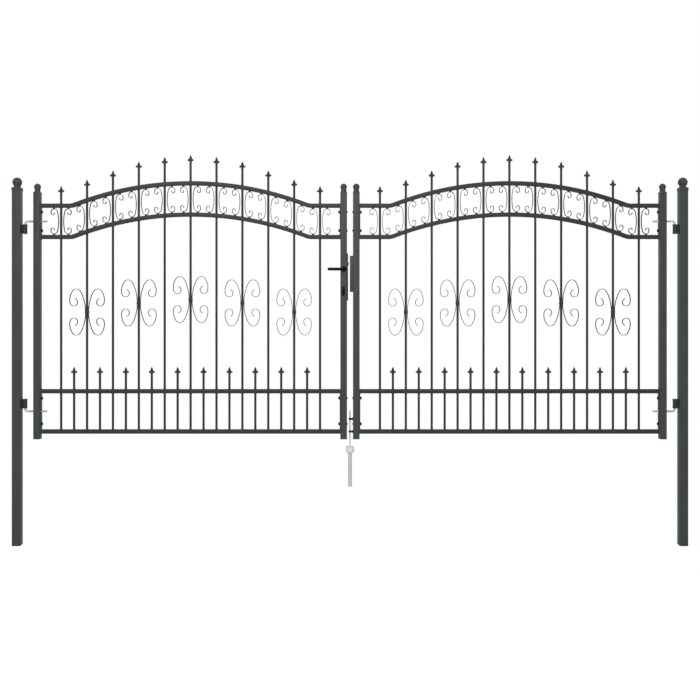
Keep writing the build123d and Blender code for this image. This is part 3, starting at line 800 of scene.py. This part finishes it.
bracket_black = powder_coat("black_bolt_coat", (0.008, 0.009, 0.009), 0.46, 0.14, peel=0.14)
bolts = []
bolt_rises = (0.090, 0.2455, 1.2545, 1.366)
for edge_name, outward in (("lock", -1), ("hinge", 1)):
    outer_face = stile_xs["right", edge_name] + outward * stile_side / 2
    plate_face = stile_xs["right", edge_name] - outward * (stile_side / 2 + end_plate)
    for rise in bolt_rises:
        bolts.append(domed_head(outer_face, leaf_foot + rise, outward))
        bolts += nut_and_washer(plate_face, leaf_foot + rise, -outward)
for name in sides:
    piece(f"{name}_rail_bolts", f"{name}_leaf", bracket_black, "bracket_black", on_side(bolts, name))


# Lock case
# A narrow mortice lock in the left leaf's lock stile. Its face plate stands on the stile's edge
# with rounded ends and a screw near each end.

def upright(outline, x, y=0.0, z=0.0):
    """An outline standing across the gate."""
    return [Vector((x, y + u, z + v)) for u, v in outline]


low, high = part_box("lock_case")
latch_rise = 1.055
latch_z = leaf_foot + latch_rise
plate_inset = 0.018
plate_x = gate_middle - plate_inset
plate_z, plate_tall = (low.z + high.z) / 2, high.z - low.z
plate_wide, plate_thick, plate_edge = 0.024, high.x - plate_x, 0.0012
bend, bend_steps = 0.8 * plate_thick, 7
rings = [upright(rounded(plate_wide, plate_tall, plate_edge), plate_x, z=plate_z)]
for step in range(bend_steps + 1):
    turn = pi / 2 * step / bend_steps
    wide = plate_wide if step < bend_steps else plate_wide - plate_edge
    outline = rounded(wide, plate_tall - 2 * bend * (1 - cos(turn)), plate_edge)
    rings.append(upright(outline, plate_x + plate_thick - bend + bend * sin(turn), z=plate_z))
latch_hole = rounded(0.0106, 0.0186, 0.0008)
rings += [upright(latch_hole, x, z=latch_z) for x in (plate_x + plate_thick, plate_x)]
lock = [skinned(rings, round_and_round=True)]
case_deep, case_thick, case_end, latch_room = 0.036, 0.015, 0.027, 0.0095
for z_low, z_high in ((low.z + case_end, latch_z - latch_room), (latch_z + latch_room, high.z - case_end)):
    case = eased_block(case_deep, case_thick, z_high - z_low, corner=0.001)
    lock.append(moved(case, x=plate_x - case_deep / 2, z=(z_low + z_high) / 2))
screw = [(0.0036, 0.0), (0.0036, 0.0006), (0.0030, 0.0012), (0.0018, 0.0014)]
screw += [(0.0015, 0.0014, 4), (0.0014, 0.0004, 4)]
screw_end, screw_sunk = 0.014, 0.0008
for z in (low.z + screw_end, high.z - screw_end):
    lock.append(spun(screw, plate_x + plate_thick - screw_sunk, z=z, axis="X"))
lock_black = powder_coat("satin_black_lock_coat", (0.022, 0.024, 0.024), 0.45, 0.14, peel=0.08)
piece("mortice_lock", "left_leaf", lock_black, "bracket_black", lock, "lock_case")


# Latch
# The lock's spring latch, a zinc-plated tongue whose tip is bevelled so that it rides over the
# keep when the leaf is pushed shut.

low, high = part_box("latch")
rings = []
for x, trim, ease in ((low.x, 0.0, 0.0004), (low.x + 0.0004, 0.0, 0.0), (high.x - 0.004, 0.0, 0.0),
                      (high.x - 0.0006, 0.0034, 0.0), (high.x, 0.0040, 0.0006)):
    outline = rounded(high.y - low.y - trim - 2 * ease, high.z - low.z - 2 * ease, 0.0008)
    rings.append(upright(outline, x, y=trim / 2, z=latch_z))
piece("spring_latch", "latch", zinc_steel, "zinc_steel", [skinned(rings)], "latch")


# Key cylinder
# A profile cylinder through the stile below the lever, with a round plug and keyway at each
# end and a black oval shield on each face.

def facing(outline, y, x=0.0, z=0.0):
    """An outline facing the front or the back."""
    return [Vector((x + u, y, z + v)) for u, v in outline]


low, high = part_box("lock_cylinder")
shield_x, shield_z = (low.x + high.x) / 2, (low.z + high.z) / 2
shield_wide, shield_tall, shield_corner = 0.019, 0.054, 0.0094
shield_steps = ((0.0, 0.0), (0.0, 0.0030), (0.0005, 0.0042), (0.0014, 0.0048), (0.0022, 0.0050))
cylinder_body, round_plug = (0.0098, 0.026, 0.0048, -0.0035), (0.0158, 0.0158, 0.0078, 0.0086)
ease, body_sunk = 0.0004, 0.0004
keyway, keyway_deep = rounded(0.0016, 0.0080, 0.0007), 0.004
shapes = []
for front in (-1, 1):
    rings = []
    for slim, out in shield_steps:
        outline = rounded(shield_wide - 2 * slim, shield_tall - 2 * slim, shield_corner - slim, 8)
        rings.append(facing(outline, front * (stile_side / 2 + out), shield_x, shield_z))
    shapes.append(skinned(rings))
    for (wide, tall, corner, lift), face in ((cylinder_body, high.y - body_sunk), (round_plug, high.y)):
        outline = rounded(wide, tall, corner)
        slim = rounded(wide - 2 * ease, tall - 2 * ease, corner - ease)
        layers = [(outline, stile_side / 2), (outline, face - ease), (slim, face)]
        if lift > 0:
            layers += [(keyway, face), (keyway, face - keyway_deep)]
        z = shield_z + lift
        shapes.append(skinned([facing(shape, front * out, shield_x, z) for shape, out in layers]))
lever_black = powder_coat("black_lever_coat", (0.003, 0.0032, 0.0034), 0.40, 0.10, peel=0.05)
piece("profile_cylinder", "left_leaf", lever_black, "lever_black", shapes, "lock_cylinder")


# Lever roses
# Two round black roses with eased rims, fixed to the stile's front and back. The levers' hubs
# turn in them.

low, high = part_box("lever_roses")
rose_x, rose_z = (low.x + high.x) / 2, (low.z + high.z) / 2
rose = ((0.0106, 0.0), (0.016, 0.0), (0.016, 0.0030), (0.0154, 0.0042), (0.0142, 0.0049))
rose += ((0.0125, 0.005), (0.0106, 0.0046))
roses = []
for front in (-1, 1):
    profile = [(half, front * (stile_side / 2 + out)) for half, out in rose]
    roses.append(spun(profile, rose_x, z=rose_z, axis="Y", hollow=True))
piece("round_lever_roses", "left_leaf", lever_black, "lever_black", roses, "lever_roses")


# Lever handles
# A pair of cast black levers on one spindle. Each leaves its rose square to the stile, bends
# along the gate and ends in a rounded tip.

low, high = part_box("lever_handles")
lever = 0.014
lever_bend = 0.014
lever_shank = 0.030
lever_tip = ((0.0050, 1.0), (0.0030, 0.95), (0.0014, 0.84), (0.0004, 0.64), (0.0, 0.40))
spindle, spindle_end = 0.0072, 0.030
square = rounded(spindle, spindle, 0.0005)
shapes = [skinned([facing(square, y, rose_x, rose_z) for y in (-spindle_end, spindle_end)])]
hub = ((0.0100, 0.0003), (0.0100, 0.0092), (0.0094, 0.0100), (0.0078, 0.0108), (0.0070, 0.0120))
for front, edge_y in ((-1, low.y), (1, high.y)):
    profile = [(half, front * (stile_side / 2 + out)) for half, out in hub]
    shapes.append(spun(profile, rose_x, z=rose_z, axis="Y"))
    corner = Vector((rose_x, edge_y - front * lever / 2, rose_z))
    tip = Vector((low.x, corner.y, rose_z))
    route = bent([corner - Vector((0, front * lever_shank, 0)), corner, tip], lever_bend)
    route[-1:] = [tip + Vector((back, 0, 0)) for back, _ in lever_tip]
    sizes = [1.0] * (len(route) - len(lever_tip)) + [size for _, size in lever_tip]
    shapes.append(swept(round_section(lever, 28), route, flat=(0, 0, 1), sizes=sizes))
piece("lever_pair", "lever", lever_black, "lever_black", shapes, "lever_handles")


# Lock keep
# A folded steel box on the right leaf's lock stile, coated with it, with a slot in its face
# that the latch springs into.

low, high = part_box("lock_keep")
keep_z, keep_tall, keep_wide = (low.z + high.z) / 2, high.z - low.z, high.y - low.y
rings = []
for x, slim in ((high.x, 0.0), (low.x + 0.0012, 0.0), (low.x + 0.0004, 0.0004), (low.x, 0.0012)):
    outline = rounded(keep_wide - 2 * slim, keep_tall - 2 * slim, 0.0022 - slim)
    rings.append(upright(outline, x, z=keep_z))
slot, slot_depth = rounded(0.014, 0.022, 0.0008), 0.015
rings += [upright(slot, low.x, z=latch_z), upright(slot, low.x + slot_depth, z=latch_z)]
piece("box_keep", "right_leaf", frame_coat, "frame_paint", [skinned(rings)], "lock_keep")


# Drop bolt eyes
# Two black eyes on the edge of the right leaf's lock stile, each with a square foot. They guide
# the drop bolt.

eye_tall = 0.012
eye_rises = (0.0445, 0.120)
arm_long, arm_thick, arm_x = 0.0095, 0.0125, 0.0112
foot_plate, foot_side = 0.0035, 0.020
foot_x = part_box("drop_bolt_eyes")[1].x - foot_plate / 2
eye = eye_ring(outer=0.0083, bore=0.0048, tall=eye_tall, rim=0.0, rim_tall=0.003)
arm = eased_block(arm_long, arm_thick, eye_tall - 0.001, corner=0.0015)
plate = eased_block(foot_plate, foot_side, foot_side, corner=0.0012)
eyes = []
for rise in eye_rises:
    for shape, x in ((eye, gate_middle), (arm, gate_middle + arm_x), (plate, foot_x)):
        eyes.append(moved(shape, x=x, z=leaf_foot + rise))
piece("bolt_guide_eyes", "right_leaf", bracket_black, "bracket_black", eyes, "drop_bolt_eyes")


# Drop bolt
# A zinc-plated round rod, 9 mm thick, that slides in the eyes. Its foot is rounded and its top
# is bent over to the back as a handle.

low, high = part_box("drop_bolt")
across = 0.009
drop_bend = 0.009
round_end = ((0.0, 0.45), (0.0004, 0.70), (0.0014, 0.90), (0.0030, 1.0))
bright_zinc = zinc_coat("bright_zinc_plate", (0.66, 0.66, 0.65), 0.38, 420, 0.3)
foot, top = Vector((gate_middle, 0, low.z)), Vector((gate_middle, 0, high.z - across / 2))
end = Vector((gate_middle, high.y, top.z))
route = bent([foot, top, end], drop_bend)
route[:1] = [foot + Vector((0, 0, back)) for back, _ in round_end]
route[-1:] = [end - Vector((0, back, 0)) for back, _ in reversed(round_end)]
end_sizes = [size for _, size in round_end]
sizes = end_sizes + [1.0] * (len(route) - 2 * len(round_end)) + end_sizes[::-1]
piece("sliding_drop_bolt", "drop_bolt", bright_zinc, "zinc_steel",
      [swept(round_section(across), route, flat=(1, 0, 0), sizes=sizes)], "drop_bolt")


# Studio
# A pale floor under the posts' feet, a white surround and one broad soft light from the front,
# high and a little to the left of the camera.

def stage_material(name, shadow):
    """A pale floor that shows to the camera as white, darkened by a share of its shadows."""
    made = bpy.data.materials.new(name)
    made.use_nodes = True
    tree = made.node_tree
    tree.nodes.clear()
    out = tree.nodes.new("ShaderNodeOutputMaterial")
    matt = tree.nodes.new("ShaderNodeBsdfDiffuse")
    matt.inputs["Color"].default_value = (0.82, 0.82, 0.82, 1)
    glow = tree.nodes.new("ShaderNodeEmission")
    glow.inputs["Strength"].default_value = floor_glow
    path = tree.nodes.new("ShaderNodeLightPath")
    share = tree.nodes.new("ShaderNodeMath")
    share.operation = "MULTIPLY"
    share.inputs[1].default_value = 1 - shadow
    mix = tree.nodes.new("ShaderNodeMixShader")
    tree.links.new(path.outputs["Is Camera Ray"], share.inputs[0])
    tree.links.new(share.outputs["Value"], mix.inputs["Fac"])
    tree.links.new(matt.outputs["BSDF"], mix.inputs[1])
    tree.links.new(glow.outputs["Emission"], mix.inputs[2])
    tree.links.new(mix.outputs["Shader"], out.inputs["Surface"])
    return made


floor_glow, floor_shadow = 1.06, 0.12
far, below = 60.0, 0.0005
corners = [(-far, -far), (far, -far), (far, far), (-far, far)]
floor_mesh = bpy.data.meshes.new("studio_floor")
floor_mesh.from_pydata([(gate_middle + x, y, cad_low.z - below) for x, y in corners], [], [(0, 1, 2, 3)])
floor_mesh.materials.append(stage_material("pale_floor", floor_shadow))
studio_floor = bpy.data.objects.new("studio_floor", floor_mesh)
bpy.context.scene.collection.objects.link(studio_floor)

world = bpy.data.worlds.new("white_studio")
bpy.context.scene.world = world
world.use_nodes = True
tree = world.node_tree
tree.nodes.clear()
out = tree.nodes.new("ShaderNodeOutputWorld")
soft, white = tree.nodes.new("ShaderNodeBackground"), tree.nodes.new("ShaderNodeBackground")
soft.inputs["Color"].default_value = (1, 1, 1, 1)
soft.inputs["Strength"].default_value = 0.65
white.inputs["Color"].default_value = (1, 1, 1, 1)
white.inputs["Strength"].default_value = 1.0
path = tree.nodes.new("ShaderNodeLightPath")
seen = path.outputs["Is Camera Ray"]
for ray in ("Is Glossy Ray", "Is Transmission Ray"):
    either = tree.nodes.new("ShaderNodeMath")
    either.operation = "MAXIMUM"
    tree.links.new(seen, either.inputs[0])
    tree.links.new(path.outputs[ray], either.inputs[1])
    seen = either.outputs["Value"]
mix = tree.nodes.new("ShaderNodeMixShader")
tree.links.new(seen, mix.inputs["Fac"])
tree.links.new(soft.outputs["Background"], mix.inputs[1])
tree.links.new(white.outputs["Background"], mix.inputs[2])
tree.links.new(mix.outputs["Shader"], out.inputs["Surface"])

key_data = bpy.data.lights.new("front_softbox", "AREA")
key_data.shape = "RECTANGLE"
key_data.size = 5.0
key_data.size_y = 3.0
key_data.energy = 260
key_light = bpy.data.objects.new("front_softbox", key_data)
key_light.location = (gate_middle - 1.0, -7.0, 4.2)
key_light.rotation_euler = (radians(67), 0, radians(-8))
bpy.context.scene.collection.objects.link(key_light)

camera_data = bpy.data.cameras.new("camera")
camera_data.lens = 45.23
camera_data.sensor_width = 36
camera_data.shift_y = -0.0713
camera_data.clip_end = 200
camera = bpy.data.objects.new("camera", camera_data)
camera.location = (gate_middle, -5.3, 1.476)
camera.rotation_euler = (radians(90), 0, 0)
bpy.context.scene.collection.objects.link(camera)
bpy.context.scene.camera = camera
bpy.context.scene.view_settings.view_transform = "Standard"
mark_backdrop(studio_floor, key_light, camera)

end_low, end_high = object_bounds()
sizes = {"at_load": [list(cad_low), list(cad_high)], "at_finish": [list(end_low), list(end_high)]}
